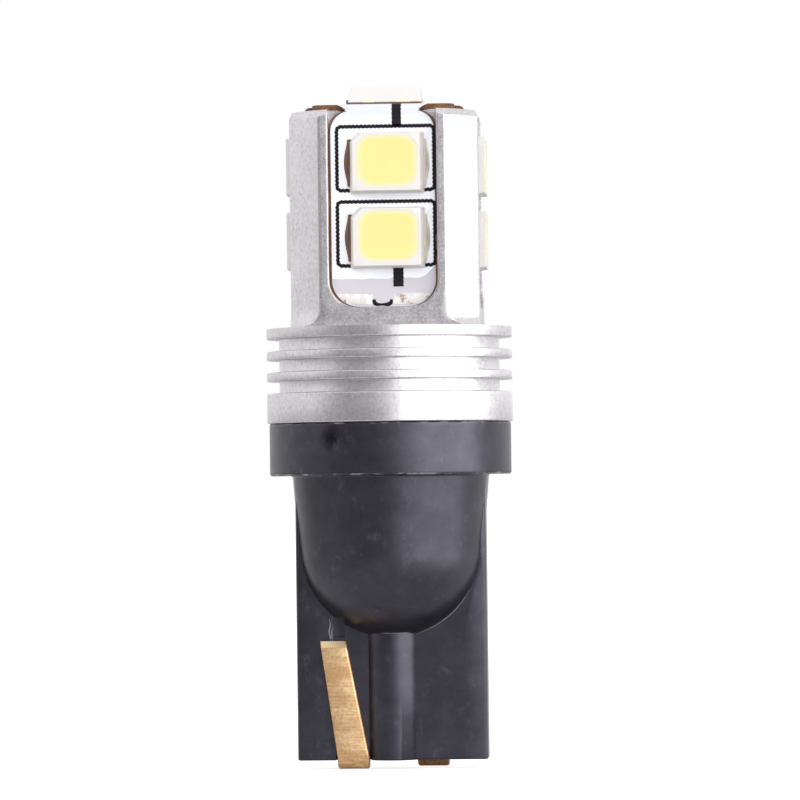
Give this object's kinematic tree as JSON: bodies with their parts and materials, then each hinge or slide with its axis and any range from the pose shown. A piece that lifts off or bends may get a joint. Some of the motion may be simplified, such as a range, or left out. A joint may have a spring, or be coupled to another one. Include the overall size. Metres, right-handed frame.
{
  "type": "wedge base led bulb",
  "caption": "LED bulb with a flat wedge base, folded brass contacts, a finned square heat sink and LED packages on four sides and the top.",
  "frame": {"origin": "centre of the blade's end face, where the bulb enters its socket", "axes": "+Z along the bulb's axis from the blade to the top LED, +X across the blade's width, the front face looks along -Y"},
  "size_m": [0.0116, 0.0116, 0.0324],
  "materials": {
    "aluminium": "turned and milled",
    "base_plastic": "moulded, satin",
    "brass": "brushed",
    "board": "white solder mask",
    "led_package": "moulded",
    "phosphor": "silicone with phosphor",
    "terminal": "plated",
    "solder": "tinned",
    "driver_board": "green solder mask",
    "chip_resin": "moulded",
    "chip_ceramic": "fired",
    "wire": "insulation"
  },
  "bodies": {
    "root": {"base": "base_plastic", "bridge_rectifier": "chip_resin", "capacitor": "chip_ceramic", "contact_front": "brass", "contact_rear": "brass", "contact_solder": "solder", "driver_board": "driver_board", "feed_solder": "solder", "feed_wire_minus": "wire", "feed_wire_plus": "wire", "heat_sink": "aluminium", "led_board": "board", "led_housing_back_lower": "led_package", "led_housing_back_upper": "led_package", "led_housing_front_lower": "led_package", "led_housing_front_upper": "led_package", "led_housing_left_lower": "led_package", "led_housing_left_upper": "led_package", "led_housing_right_lower": "led_package", "led_housing_right_upper": "led_package", "led_housing_top": "led_package", "led_phosphor_back_lower": "phosphor", "led_phosphor_back_upper": "phosphor", "led_phosphor_front_lower": "phosphor", "led_phosphor_front_upper": "phosphor", "led_phosphor_left_lower": "phosphor", "led_phosphor_left_upper": "phosphor", "led_phosphor_right_lower": "phosphor", "led_phosphor_right_upper": "phosphor", "led_phosphor_top": "phosphor", "led_solder": "solder", "led_terminals_back_lower": "terminal", "led_terminals_back_upper": "terminal", "led_terminals_front_lower": "terminal", "led_terminals_front_upper": "terminal", "led_terminals_left_lower": "terminal", "led_terminals_left_upper": "terminal", "led_terminals_right_lower": "terminal", "led_terminals_right_upper": "terminal", "led_terminals_top": "terminal", "regulator_ic": "chip_resin", "resistor_bleed": "chip_resin", "resistor_sense": "chip_resin"}
  },
  "joints": []
}
